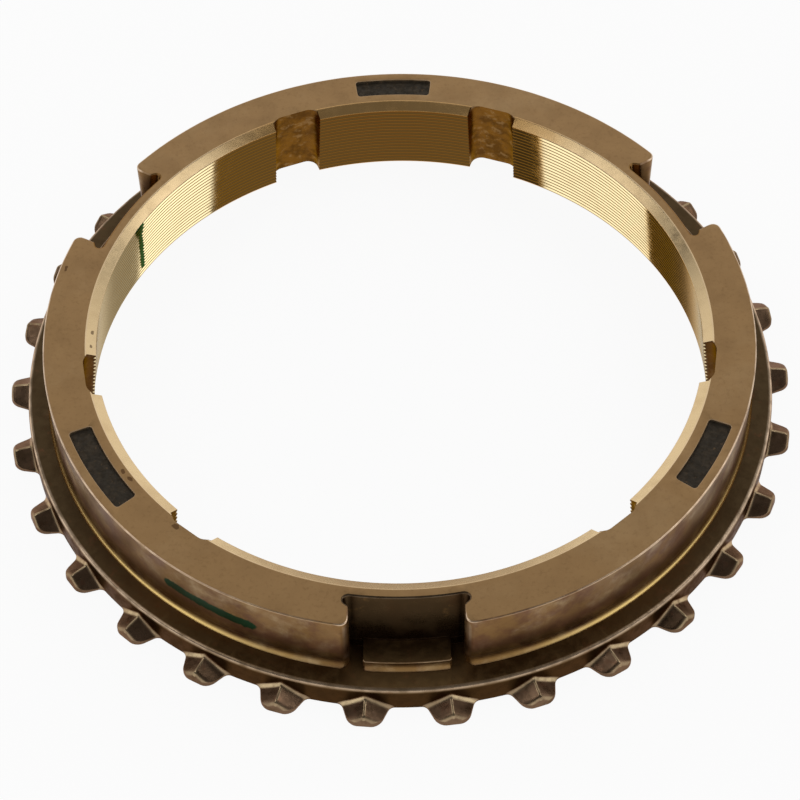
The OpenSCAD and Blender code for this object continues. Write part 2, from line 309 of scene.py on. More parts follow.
class RingShape:
    """Sizes of the ring in millimetres, and the curves that follow from them"""

    # Relief in a slot's inner corner: beyond the slot's side, and out from the wall behind the slot
    ear = [
        (0, 1.45), (0.05, 1.28), (0.18, 1.12), (0.38, 0.96), (0.53, 0.76),
        (0.57, 0.5), (0.47, 0.25), (0.26, 0.08), (0, 0)]
    # Slight crown on a straight side, so that no three points of an outline lie in line
    crown = 0.01
    # Upright corners of a stub, and the least rounding that an inset leaves
    stub_corner = 0.35
    least_round = 0.1
    # Painted highlights, partly marks of rubbing, on the ends of the friction grooves and on the edges of
    # the slots, stubs, foot and flange
    end_glint = 0.5
    mouth_mark = 1.0
    slot_mark = 0.2
    side_mark = 0.35
    floor_mark = 0.4
    stub_mark = 0.35
    lip_mark = 0.1
    flange_marks = (0.35, 1.0, 0.35, 0.0)
    # Painted highlight on the collar's top edge, weaker towards the front, by the angle off the front
    rim_angles = (radians(14), radians(40))
    rim_marks = (0.25, 1.0)
    # Painted highlights on a tooth, brighter on the slope facing away from the front: root of its far and
    # near slope and of its ridge, end of its slopes, and ridge
    tooth_far, tooth_near, tooth_top, tooth_end, tooth_crest = 1.0, 0.35, 0.6, 0.4, 0.5
    # Rows down the collar's wall, and the heights above the stubs where the slot's floor has a painted
    # highlight
    wall_rows = 7
    corner_high, corner_low = 0.35, 0.15
    # Faces past a slot's mouth, and at a stub's side, that take the finish of the other
    past_mouth, past_stub = 3, 2
    # Points along a slot's mouth, the collar between two slots, a gap between teeth and the rest ring
    mouth_steps = 6
    collar_steps = 100
    gap_steps = 5
    rest_steps = 180
    bore_step = radians(1.25)

    def __init__(self, sizes, counts):
        for name in RingSizes.__annotations__:
            setattr(self, name, getattr(sizes, name) / MM)
        for name in RingCounts.__annotations__:
            setattr(self, name, getattr(counts, name))
        self.cone_top = self.height - self.chamfer_h
        self.stub_z = self.flange_h + self.stub_h
        self.rest_r = self.flange_r - self.rest_w
        self.slot_pitch = tau / self.slots
        self.tooth_pitch = tau / self.teeth
        self.stub_edge = self.stub_half - self.stub_round

    def cone(self, z):
        return self.cone_r + (self.cone_top - z) * tan(self.cone_angle)

    def groove_line(self, z):
        """Radius of the slanted line from which an oil groove's depth is counted"""
        middle = self.height / 2
        return self.cone(middle) - (z - middle) * tan(self.groove_lean)

    def slot_back(self, across, z):
        """Point of the wall behind a slot"""
        return (across, sqrt((self.cone(z) + self.slot_wall) ** 2 - across ** 2))

    def mouth(self):
        """Centre of the rounded corner at the left of a slot's mouth, and the arc's first angle"""
        across = self.slot_half + self.mouth_round
        out = sqrt((self.collar_r - self.mouth_round) ** 2 - across ** 2)
        return across, out, -atan2(across, out)

    def slot_side(self, z):
        """Left side of a slot from the collar's wall to its corner relief, with shares of the foot"""
        across, out, start = self.mouth()
        wall_out = self.slot_back(self.slot_half, z)[1]
        bend = spread(start, pi / 2, self.mouth_steps)
        points = arc(-across, out, self.mouth_round, bend)
        shares = [max(0.0, cos(t - start)) ** 2 for t in bend]
        straight = spread(out, wall_out + self.ear[0][1], 4)[1:-1]
        points += [(-self.slot_half + self.crown, d) for d in straight]
        points += [(-self.slot_half - beyond, wall_out + away) for beyond, away in self.ear]
        return points, shares + [0.0] * (len(points) - len(shares))

    def channel(self, z, edge):
        """Wall behind the channel beside the stub, up to the stub's edge"""
        return [self.slot_back(-x, z) for x in spread(self.slot_half, edge, 5)[1:]]

    def slot_upper(self, z):
        """Outline of a slot above its stub"""
        left = self.slot_side(z)[0] + self.channel(z, self.stub_edge)
        middle = [self.slot_back(x, z) for x in spread(-self.stub_edge, self.stub_edge, 13)[1:-1]]
        return left, middle

    def stub(self, z, inset):
        """Outline of the stub from its left side round its front, with shares of the foot"""
        half, front = self.stub_half - inset, self.collar_r - inset
        corner_r = max(self.stub_corner - inset, self.least_round)
        across = half - corner_r
        out = sqrt((front - corner_r) ** 2 - across ** 2)
        start, end = -pi / 2, -atan2(across, out)
        back = self.slot_back(half, z)[1]
        side = [(-half - self.crown, d) for d in spread(back, out, 4)[1:-1]]
        bend = spread(start, end, 5)
        face = arc(0.0, 0.0, front, spread(end, -end, 11)[1:-1])
        left = side + arc(-across, out, corner_r, bend)
        shares = [0.0] * len(side)
        shares += [sin((t - start) / (end - start) * pi / 2) ** 2 for t in bend]
        return left + face + mirrored(left), shares + [1.0] * len(face) + shares[::-1]

    def collar_arc(self):
        """Angles of the collar's wall from one slot's mouth to the next"""
        edge = -self.mouth()[2]
        return spread(edge, self.slot_pitch - edge, self.collar_steps + 2)[1:-1]

    def all_round(self, slot, radius):
        """Outline of one slot and the collar after it, repeated for each slot"""
        outline = []
        for i in range(self.slots):
            outline += [turned(p, i * self.slot_pitch) for p in slot]
            outline += [plan(radius, a + i * self.slot_pitch) for a in self.collar_arc()]
        return outline

    def upper_outline(self, z):
        """Collar's outline above the stubs"""
        left, middle = self.slot_upper(z)
        return self.all_round(left + middle + mirrored(left), self.collar_r)

    def lower_outline(self, z, inset, flare):
        """Collar's outline at the stubs, with the foot's flare"""
        side, share = self.slot_side(z)
        left = side + self.channel(z, self.stub_half - inset)
        share = share + [0.0] * (len(left) - len(share))
        stub, stub_share = self.stub(z, inset)
        slot = left + stub + mirrored(left)
        shares = share + stub_share + share[::-1]
        pushed = []
        for (across, out), part in zip(slot, shares):
            grow = 1 + flare * part / hypot(across, out)
            pushed.append((across * grow, out * grow))
        return self.all_round(pushed, self.collar_r + flare)

    def foot_rows(self):
        """Height and flare down the hollow at the collar's foot"""
        sweep = acos(1 - self.foot_w / self.foot_r)
        edge = self.flange_h + self.foot_step
        return [
            (edge + self.foot_r * (sin(sweep) - sin(a)), self.foot_r * (1 - cos(a)))
            for a in spread(0, sweep, 5)]

    def tooth_share(self, radius):
        """How far out a radius lies between the flange and the tips"""
        return (radius - self.flange_r) / (self.tip_r - self.flange_r)

    def arch(self, radius, side, top):
        """Section of a tooth at a radius, drawn in at its sides and top, from its left foot onwards"""
        share = self.tooth_share(radius)
        half = self.tooth_root + (self.tooth_tip - self.tooth_root) * share - side
        tilt = pi / 2 - self.roof_half
        ridge = self.tooth_ridge - self.ridge_drop * share - top / cos(tilt)
        eave = ridge - half * tan(tilt)
        corner = tan(self.roof_half / 2)
        edge = min(self.tooth_round, (eave - 1.1 * self.foot_break) / corner)
        right = [(half - self.foot_break, 0.0), (half, self.foot_break)]
        for t in spread(0, self.roof_half, 4):
            right.append((half - edge * (1 - cos(t)), eave - edge * corner + edge * sin(t)))
        low = right[-1]
        crown_z = ridge - edge / cos(tilt)
        crown = [(edge * sin(t), crown_z + edge * cos(t)) for t in spread(tilt, 0, 4)]
        right.append(((low[0] + crown[0][0]) / 2, (low[1] + crown[0][1]) / 2))
        right += crown
        return [(-x, z) for x, z in right] + right[-2::-1]

    def tooth_sections(self):
        """Radius, draw at the sides and top, and way inwards at the bottom, from the flange to the tip"""
        sections = []
        for sine, cosine in quarter(3):
            fillet = -self.root_round * (1 - sine)
            sections.append((self.flange_r + self.root_round * (1 - cosine), fillet, fillet, sine, cosine))
        last = self.tip_r - self.tip_corner
        sections.append(((sections[-1][0] + last) / 2, 0.0, 0.0, 1.0, 0.0))
        for sine, cosine in quarter(5):
            radius = last + self.tip_corner * sine
            beyond = max(0.0, 1 - (self.tip_r - radius) / self.tip_round)
            top = self.tip_round * (1 - sqrt(max(0.0, 1 - beyond ** 2)))
            sections.append((radius, self.tip_corner * (1 - cosine), top, cosine, sine))
        return sections

    def pocket(self, length_mm, inset):
        """Outline of a pocket bent round the collar's face, centred on the front"""
        middle = (self.cone_r + self.chamfer_w + self.collar_r) / 2
        u, v = length_mm / 2 - inset, self.pocket_w / 2 - inset
        r = max(self.pocket_round - inset, self.least_round)
        flat = []
        for su, sv, start in ((1, -1, -pi / 2), (1, 1, 0), (-1, 1, pi / 2), (-1, -1, pi)):
            flat += [
                (su * (u - r) + r * cos(t), sv * (v - r) + r * sin(t))
                for t in spread(start, start + pi / 2, 6)]
            if su * sv > 0:
                run = spread(su * (u - r), -su * (u - r), 16)[1:-1]
                flat += [(along, sv * v) for along in run]
        return [plan(middle + across, along / middle) for along, across in flat]


def tooth_marks(ring, section, count, points, on_right):
    """Painted highlights on one section of a tooth, by the number of the point"""
    ridge = points // 2
    left, right = range(4, ridge - 2), range(ridge + 3, points - 4)
    crest = range(ridge - 2, ridge + 3)
    if section in (1, 2):
        far, near = (right, left) if on_right else (left, right)
        marked = ((far, ring.tooth_far), (near, ring.tooth_near), (crest, ring.tooth_top))
    elif section in (count - 3, count - 2):
        marked = ((left, ring.tooth_end), (right, ring.tooth_end), (crest, ring.tooth_crest))
    else:
        marked = ((crest, ring.tooth_crest),) if section > 2 else ()
    return {k: mark for place, mark in marked for k in place}


def add_teeth(surface, ring):
    """Flange wall, teeth and rim. Gives the rim's loop and the bottom outline's loop."""
    specs = ring.tooth_sections()
    lean = ring.tooth_lean / ring.tooth_ridge
    teeth = []
    for i in range(ring.teeth):
        angle = (i + 0.5) * ring.tooth_pitch
        sections = []
        for s, (radius, side, top, in_across, in_out) in enumerate(specs):
            arch = ring.arch(radius, side, top)
            points = []
            for k, (across, z) in enumerate(arch):
                r = radius - lean * z * ring.tooth_share(radius)
                if k in (0, len(arch) - 1):
                    half = abs(arch[1][0]) - ring.foot_break * in_across
                    across = copysign(half, across)
                    r -= ring.foot_break * in_out
                out = sqrt(r * r - across * across)
                points.append((*turned((across, out), angle), z))
            section = surface.add(points)
            # Painted highlights, brighter on the slope facing away from the front
            marks = tooth_marks(ring, s, len(specs), len(arch), angle < pi)
            for k, mark in marks.items():
                surface.wear[section[k]] = mark
            sections.append(section)
        teeth.append(sections)
        for inner, outer in zip(sections, sections[1:]):
            surface.strip(inner, outer, TOOTH)
        tip = sections[-1]
        for k in range(len(tip) // 2):
            corners = [tip[k], tip[k + 1], tip[-2 - k], tip[-1 - k]]
            surface.face(list(dict.fromkeys(corners)), TOOTH)
    base, bottom = [], []
    flank = surface.points[teeth[0][0][2]][2]
    for i, sections in enumerate(teeth):
        wall = sections[0]
        after = teeth[(i + 1) % ring.teeth][0]
        here = surface.points[wall[-1]]
        there = surface.points[after[0]]
        a0 = atan2(here[0], -here[1])
        a1 = atan2(there[0], -there[1])
        gap = spread(a0, a0 + (a1 - a0) % tau, ring.gap_steps + 2)[1:-1]
        levels = [
            surface.level([plan(ring.flange_r - ring.foot_break, a) for a in gap], 0.0),
            surface.level([plan(ring.flange_r, a) for a in gap], ring.foot_break),
            surface.level([plan(ring.flange_r, a) for a in gap], flank)]
        rows = [[wall[-1 - k], *levels[k], after[k]] for k in range(3)]
        surface.strip(rows[0], rows[1], FORGED)
        surface.strip(rows[1], rows[2], FORGED)
        base += wall[2:-2] + levels[2]
        bottom += [s[0] for s in sections] + [s[-1] for s in reversed(sections)] + levels[0]
    angles = [atan2(surface.points[i][0], -surface.points[i][1]) for i in base]
    heights = [surface.points[i][2] for i in base]
    rim_foot = ring.flange_h - ring.flange_round
    below = base
    for share in (0.5, 1.0):
        row = surface.add([
            (*plan(ring.flange_r, a), z + (rim_foot - z) * share) for a, z in zip(angles, heights)])
        surface.loft(below, row, FORGED)
        below = row
    # Painted highlight along the middle of the flange's rim
    bend = quarter(len(ring.flange_marks))[1:]
    for (sine, cosine), mark in zip(bend, ring.flange_marks):
        r = ring.flange_r - ring.flange_round * (1 - cosine)
        z = rim_foot + ring.flange_round * sine
        below = surface.stack(below, [plan(r, a) for a in angles], z, FORGED, mark)
    return below, bottom


def add_collar(surface, ring):
    """Collar, slots and stubs. Gives the loop on the shoulder and the loop on the top face."""
    left, middle = ring.slot_upper(ring.stub_z)
    stub_count = len(ring.stub(ring.stub_z, ring.stub_round)[0])
    arc_count = ring.collar_steps
    mouth_count = ring.mouth_steps
    inner = len(left) - mouth_count
    wall_end = mouth_count + ring.past_mouth
    channel = 1 + inner + ring.past_stub
    upper_kinds = (
        [WALL] * wall_end + [KEYWAY] * (2 * (inner - ring.past_mouth) + len(middle))
        + [WALL] * (wall_end + arc_count))
    lower_kinds = (
        [WALL] * (mouth_count - 1) + [KEYWAY] * channel + [WALL] * (stub_count - 2 * ring.past_stub - 1)
        + [KEYWAY] * channel + [WALL] * (mouth_count + arc_count))
    # Painted highlights, partly marks of rubbing, on the slot mouths, the slots' top edges and the collar's
    # top edge
    mouth_marks = [ring.mouth_mark] * mouth_count
    slot_marks = mouth_marks + [ring.slot_mark] * (2 * inner + len(middle)) + mouth_marks
    edge_marks = []
    for i in range(ring.slots):
        angles = [a + i * ring.slot_pitch for a in ring.collar_arc()]
        from_front = [abs((a + pi) % tau - pi) for a in angles]
        edge_marks += slot_marks
        edge_marks += [float(np.interp(a, ring.rim_angles, ring.rim_marks)) for a in from_front]
    edge = ring.collar_round
    top_outline = ring.upper_outline(ring.height)
    top_loop = surface.level(inset_loop(top_outline, edge), ring.height)
    above = top_loop
    for sine, cosine in quarter(4)[1:]:
        z = ring.height - edge * (1 - cosine)
        outline = inset_loop(ring.upper_outline(z), edge * (1 - sine))
        marks = 0.0 if sine > 0.99 else edge_marks
        above = surface.stack(above, outline, z, upper_kinds * ring.slots, marks)
    # Painted highlights on the slots' upright edges and along the foot of the slots' walls
    side = [0.0, 0.0, ring.side_mark, ring.side_mark] + [0.0] * (len(left) - 4)
    side_marks, corner_marks = [
        (side + [mark] * len(middle) + side[::-1] + [0.0] * arc_count) * ring.slots
        for mark in (0.0, ring.floor_mark)]
    heights = spread(ring.height - edge, ring.stub_z + ring.corner_high, ring.wall_rows)[1:]
    wall_rows = [(z, side_marks) for z in heights]
    for z, mark in wall_rows + [(ring.stub_z + ring.corner_low, corner_marks), (ring.stub_z, 0.0)]:
        above = surface.stack(above, ring.upper_outline(z), z, upper_kinds * ring.slots, mark)
    per_sector = len(above) // ring.slots
    start = surface.level(ring.lower_outline(ring.stub_z, ring.stub_round, 0.0), ring.stub_z)
    low_sector = len(start) // ring.slots
    for i in range(ring.slots):
        sector = above[i * per_sector:(i + 1) * per_sector]
        low = start[i * low_sector:(i + 1) * low_sector]
        stub = low[len(left):len(left) + stub_count]
        span = sector[len(left) - 1:len(left) + len(middle) + 1]
        surface.fill(span + stub[::-1], [], FORGED)
        joined = sector[:len(left)] + stub + sector[len(left) + len(middle):]
        start[i * low_sector:(i + 1) * low_sector] = joined
    above = start
    rows = []
    # Painted highlight along the stub's top edge
    for sine, cosine in quarter(3)[1:]:
        mark = 0.0 if sine > 0.99 else ring.stub_mark
        rows.append((ring.stub_z - ring.stub_round * (1 - cosine), ring.stub_round * (1 - sine), 0.0, mark))
    foot = ring.foot_rows()
    rows += [(z, 0.0, flare, 0.0) for z, flare in foot[:-1]]
    lip_z, lip = foot[-1]
    # Painted highlight on the lip of the foot's hollow
    rows += [(lip_z, 0.0, lip, ring.lip_mark), (ring.flange_h, 0.0, lip + ring.crown, 0.0)]
    for z, inset, flare, mark in rows:
        kinds = FORGED if z == ring.flange_h else lower_kinds * ring.slots
        above = surface.stack(above, ring.lower_outline(z, inset, flare), z, kinds, mark)
    return above, top_loop


def add_pockets(surface, ring):
    """Pockets in the collar's face. Gives their rims' loops."""
    rims = []
    half = ring.slot_pitch / 2
    # Inset, depth and painted edge highlight down a pocket's wall, with both its edges broken
    rows = [
        (-0.09, 0.0, 0.0), (-0.02, 0.02, 0.9), (0.02, 0.08, 0.5), (0.1, ring.pocket_depth - 0.08, 0.0),
        (0.14, ring.pocket_depth - 0.02, 0.0), (0.22, ring.pocket_depth, 0.0)]
    places = ((half, ring.right_pocket), (pi, ring.back_pocket), (-half, ring.left_pocket))
    for angle, length_mm in places:
        loops = []
        for inset, depth, mark in rows:
            outline = [turned((x, -y), angle) for x, y in ring.pocket(length_mm, inset)]
            loops.append(surface.level(outline, ring.height - depth, wear=mark))
        for k in range(len(loops) - 1):
            surface.loft(loops[k], loops[k + 1], TOP if k < 2 else POCKET)
        surface.fill(loops[-1], [], POCKET)
        rims.append(loops[0])
    return rims


def bore_rows(ring):
    """Height, radius, edge mark of rubbing and painted highlight, and painted shade down the bore, and the
    row where the friction grooves start
    """
    face_r, cone_r = ring.cone_r + ring.chamfer_w, ring.cone_r
    # The chamfer, with its edges at the face and at the cone slightly broken and given a painted highlight
    rows = [
        (ring.height, face_r + 0.06, 0.0, 0.0),
        (ring.height - 0.02, face_r - 0.02, 1.0, 0.0),
        (ring.height - 0.07, face_r - 0.12, 0.0, 0.0),
        (ring.cone_top + 0.05, cone_r + 0.1, 0.0, 0.0),
        (ring.cone_top + 0.005, cone_r + 0.02, 1.0, 0.0)]
    chamfer_rows = len(rows)
    count = int((ring.cone_top - ring.rest_step) / ring.thread_pitch)
    for i in range(count):
        top, foot = (ring.cone_top - k * ring.thread_pitch for k in (i, i + 1))
        land = top - (0.03 if i == 0 else 0.0)
        edge = top - ring.thread_land
        root = (edge + foot) / 2
        # The lands and the roots take painted shade, the flanks between them stay bright
        rows += [(z, ring.cone(z), 0.0, 1.0) for z in (land, edge)]
        rows.append((root, ring.cone(root) + ring.thread_depth, 0.0, 0.7))
        for share in (0.3, 0.85):
            z = root + (foot - root) * share
            rows.append((z, ring.cone(z) + ring.thread_depth * (1 - share), 0.0, 0.0))
    last = ring.cone_top - count * ring.thread_pitch
    rows.append((last, ring.cone(last), 0.0, 1.0))
    rows.append((ring.rest_step, ring.cone(ring.rest_step), 0.0, 0.0))
    return rows, chamfer_rows


def bore_columns(ring):
    """Columns round the bore: an angle, or an oil groove's angle with a place across and a depth"""
    half, deep, r = ring.groove_half, ring.groove_depth / cos(ring.groove_lean), ring.groove_round
    right = [(half, -1.0)]
    right += [
        (half - r * (1 - cos(t)), deep - r * (1 - sin(t))) for t in spread(0, pi / 2, 8)]
    right += [((half - r) / 2, deep)]
    profile = [(-x, d) for x, d in right] + [(0.0, deep)] + right[::-1]
    grooves = sorted(
        (i + 0.5) * ring.slot_pitch + offset
        for i in range(ring.slots) for offset in (-ring.groove_offset, ring.groove_offset))
    edge = asin(half / ring.cone(ring.height / 2))
    columns = []
    for k, angle in enumerate(grooves):
        after = grooves[(k + 1) % len(grooves)]
        columns += [(angle, x, d) for x, d in profile]
        run = (after - angle) % tau - 2 * edge
        count = int(run / ring.bore_step)
        columns += [(a, None, None) for a in spread(angle + edge, angle + edge + run, count + 2)[1:-1]]
    return columns


def add_bore(surface, ring):
    """Lead-in chamfer, friction cone and oil grooves. Gives the loops on the top and bottom faces."""
    rows, chamfer_rows = bore_rows(ring)
    columns = bore_columns(ring)
    loops, sunk = [], []
    for k, (z, radius, wear, grime) in enumerate(rows):
        points, below = [], []
        for angle, across, deep in columns:
            if across is None:
                points.append((*plan(radius, angle), z))
                below.append(False)
            else:
                face = sqrt(radius ** 2 - across ** 2)
                floor = ring.groove_line(z) + deep
                points.append((*turned((across, max(face, floor)), angle), z))
                below.append(floor > face)
        # Painted glints on the ends of the lands at the oil grooves' edges
        end = wear if k < chamfer_rows else ring.end_glint
        marks = [0.0 if low else wear if column[1] is None else end for low, column in zip(below, columns)]
        loops.append(surface.add(points, marks, [0.0 if low else grime for low in below]))
        sunk.append(below)
    count = len(columns)
    for k in range(len(loops) - 1):
        kinds = []
        for i in range(count):
            j = (i + 1) % count
            if sunk[k][i] or sunk[k][j] or sunk[k + 1][i] or sunk[k + 1][j]:
                kinds.append(GROOVE)
            else:
                kinds.append(CHAMFER if k < chamfer_rows - 1 else BORE)
        surface.loft(loops[k], loops[k + 1], kinds)
    return loops[0], loops[-1]


def ring_surface(ring):
    surface = Surface()
    rim, bottom = add_teeth(surface, ring)
    shoulder, top = add_collar(surface, ring)
    pockets = add_pockets(surface, ring)
    bore_top, bore_bottom = add_bore(surface, ring)
    surface.fill(rim, [shoulder], FORGED)
    surface.fill(top, [bore_top, *pockets], TOP)
    rest = [plan(ring.rest_r, a) for a in spread(0, tau, ring.rest_steps + 1)[:-1]]
    low, high = surface.level(rest, 0.0), surface.level(rest, ring.rest_step)
    surface.fill(bottom, [low], TOP)
    surface.loft(low, high, TOP)
    surface.fill(high, [bore_bottom], TOP)
    return surface


def ring_mesh(surface, materials):
    mesh = bpy.data.meshes.new(PIECE)
    mesh.from_pydata([tuple(c * MM for c in p) for p in surface.points], [], surface.faces)
    for material in materials:
        mesh.materials.append(material)
    mesh.polygons.foreach_set("material_index", surface.finish)
    # Per-point masks: edge marks of rubbing with painted highlights, and painted shade
    for name, values in (("wear", surface.wear), ("grime", surface.grime)):
        mesh.attributes.new(name, "FLOAT", "POINT").data.foreach_set("value", values)
    bm = bmesh.new()
    bm.from_mesh(mesh)
    bmesh.ops.remove_doubles(bm, verts=bm.verts, dist=WELD)
    bmesh.ops.dissolve_degenerate(bm, edges=bm.edges, dist=WELD)
    bmesh.ops.recalc_face_normals(bm, faces=bm.faces)
    loose = [v for v in bm.verts if not v.link_faces]
    bmesh.ops.delete(bm, geom=loose, context="VERTS")
    open_edges = [e for e in bm.edges if len(e.link_faces) != 2]
    volume = bm.calc_volume(signed=True)
    if open_edges or volume <= 0:
        raise RuntimeError(f"the ring is not closed: {len(open_edges)} open edges, volume {volume}")
    for face in bm.faces:
        face.smooth = True
    bm.to_mesh(mesh)
    bm.free()
    mesh.set_sharp_from_angle(angle=SHARP)
    return mesh


class Graph:
    """A node tree with short ways to add nodes and links"""

    def __init__(self, tree):
        self.tree = tree

    def put(self, node, name, value):
        """Set or link an input, given by its name or its place in the row"""
        socket = node.inputs[name]
        if isinstance(value, bpy.types.NodeSocket):
            self.tree.links.new(value, socket)
        elif socket.type == "RGBA":
            socket.default_value = (*value, 1.0)
        else:
            socket.default_value = value

    def node(self, kind, settings=None, **inputs):
        node = self.tree.nodes.new(kind)
        for name, value in (settings or {}).items():
            setattr(node, name, value)
        for name, value in inputs.items():
            self.put(node, name.replace("_", " "), value)
        return node

    def row(self, kind, settings, values):
        """First output of a node whose first inputs take the values in order"""
        node = self.node(kind, settings)
        for place, value in enumerate(values):
            self.put(node, place, value)
        return node.outputs[0]

    def math(self, operation, *values, clamp=False):
        return self.row("ShaderNodeMath", {"operation": operation, "use_clamp": clamp}, values)

    def times(self, first, second):
        return self.math("MULTIPLY", first, second)

    def minus(self, first, second):
        return self.math("SUBTRACT", first, second)

    def dot(self, first, second):
        """Sum of the products of two pairs"""
        return self.math("ADD", self.times(first[0], second[0]), self.times(first[1], second[1]))

    def remap(self, value, low, high, to_low=0.0, to_high=1.0):
        """Number that goes smoothly from one end to the other while the value crosses a range"""
        settings = {"interpolation_type": "SMOOTHSTEP"}
        return self.row("ShaderNodeMapRange", settings, (value, low, high, to_low, to_high))

    def blend(self, mask, first, second):
        """Number that goes from the first to the second as the mask goes from 0 to 1"""
        return self.math("MULTIPLY_ADD", mask, self.minus(second, first), first)

    def mix(self, mask, first, second):
        """Colour that goes from the first to the second as the mask goes from 0 to 1"""
        node = self.node("ShaderNodeMix", {"data_type": "RGBA"})
        for place, value in ((0, mask), (6, first), (7, second)):
            self.put(node, place, value)
        return node.outputs[2]

    def place(self):
        """Place on the object, in metres"""
        return self.node("ShaderNodeTexCoord").outputs["Object"]

    def noise(self, place, size, detail, **inputs):
        """Noise with features of a size in millimetres"""
        scale = self.math("DIVIDE", 1 / MM, size)
        node = self.node("ShaderNodeTexNoise", Vector=place, Scale=scale, Detail=detail, **inputs)
        return node.outputs[0]

    def group(self, tree, **inputs):
        return self.node("ShaderNodeGroup", {"node_tree": tree}, **inputs)


def new_group(name, inputs, outputs):
    """New shader group: its graph, the values that come in, and the node that puts out"""
    tree = bpy.data.node_groups.new(name, "ShaderNodeTree")
    for socket, default in inputs.items():
        made = tree.interface.new_socket(name=socket, in_out="INPUT", socket_type="NodeSocketFloat")
        made.default_value = default
    for socket in outputs:
        tree.interface.new_socket(name=socket, in_out="OUTPUT", socket_type="NodeSocketFloat")
    return Graph(tree), tree.nodes.new("NodeGroupInput").outputs, tree.nodes.new("NodeGroupOutput")


def coordinates_group():
    """Angle off the front in degrees, radius and height in millimetres"""
    g, _, out = new_group("Ring coordinates", {}, ["Angle", "Radius", "Height"])
    x, y, z = g.node("ShaderNodeSeparateXYZ", Vector=g.place()).outputs
    g.put(out, "Angle", g.math("DEGREES", g.math("ARCTAN2", x, g.times(y, -1.0))))
    g.put(out, "Radius", g.times(g.math("SQRT", g.dot((x, y), (x, y))), 1 / MM))
    g.put(out, "Height", g.times(z, 1 / MM))
    return g.tree


def patches_group():
    """Soft irregular patches"""
    g, pin, out = new_group("Patches", {"Size": 4.0, "Low": 0.45, "High": 0.6, "Seed": 0.0}, ["Mask"])
    shift = g.row("ShaderNodeCombineXYZ", {}, [pin["Seed"]] * 3)
    moved = g.row("ShaderNodeVectorMath", {"operation": "ADD"}, (g.place(), shift))
    noise = g.noise(moved, pin["Size"], 5.0, Roughness=0.62)
    g.put(out, "Mask", g.remap(noise, pin["Low"], pin["High"]))
    return g.tree


def edge_wear_and_glint_group():
    """Edges marked by rubbing, with painted edge highlights, broken up along their length"""
    g, pin, out = new_group("Edge wear", {"Amount": 1.0, "Breakup": 1.5}, ["Mask"])
    edge = g.node("ShaderNodeAttribute", {"attribute_name": "wear"}).outputs["Fac"]
    broken = g.remap(g.noise(g.place(), pin["Breakup"], 3.0), 0.25, 0.62, 0.35, 1.0)
    g.put(out, "Mask", g.math("MULTIPLY", g.times(edge, broken), pin["Amount"], clamp=True))
    return g.tree


def grain_group():
    """Height of fine grain and of turning marks at a distance across the cut"""
    inputs = {"Across": 0.0, "Feed": 0.12, "Lines": 0.5, "Pits": 0.5, "Size": 0.25}
    g, pin, out = new_group("Grain", inputs, ["Height"])
    fine = g.noise(g.place(), pin["Size"], 4.0)
    steps = g.math("DIVIDE", pin["Across"], pin["Feed"])
    line = g.node("ShaderNodeTexNoise", {"noise_dimensions": "1D"}, W=steps, Detail=2.0, Scale=1.0)
    g.put(out, "Height", g.dot((line.outputs[0], fine), (pin["Lines"], pin["Pits"])))
    return g.tree


def pen_group():
    """Stroke of a pen between two places, each an angle and a height"""
    inputs = {
        "Angle": 0.0, "Height": 0.0, "From Angle": 0.0, "To Angle": 1.0,
        "From Height": 0.0, "To Height": 1.0, "Width": 0.5, "Around": 0.73}
    g, pin, out = new_group("Pen stroke", inputs, ["Mask"])
    at = (g.times(g.minus(pin["Angle"], pin["From Angle"]), pin["Around"]),
          g.minus(pin["Height"], pin["From Height"]))
    along = (g.times(g.minus(pin["To Angle"], pin["From Angle"]), pin["Around"]),
             g.minus(pin["To Height"], pin["From Height"]))
    share = g.math("DIVIDE", g.dot(at, along), g.dot(along, along), clamp=True)
    off = [g.minus(a, g.times(b, share)) for a, b in zip(at, along)]
    away = g.math("SQRT", g.dot(off, off))
    ragged = g.times(g.minus(g.noise(g.place(), 0.625, 3.0), 0.5), 0.7)
    half = g.times(pin["Width"], 0.5)
    g.put(out, "Mask", g.remap(g.math("ADD", away, ragged), half, g.times(half, 1.5), 1.0, 0.0))
    return g.tree


class Kit:
    """Colours and shared groups of the ring's finishes"""

    def __init__(self, colours):
        self.colours = {name: tuple(getattr(colours, name)) for name in RingColours.__annotations__}
        self.coordinates = coordinates_group()
        self.patches = patches_group()
        self.wear = edge_wear_and_glint_group()
        self.grain = grain_group()
        self.pen = pen_group()


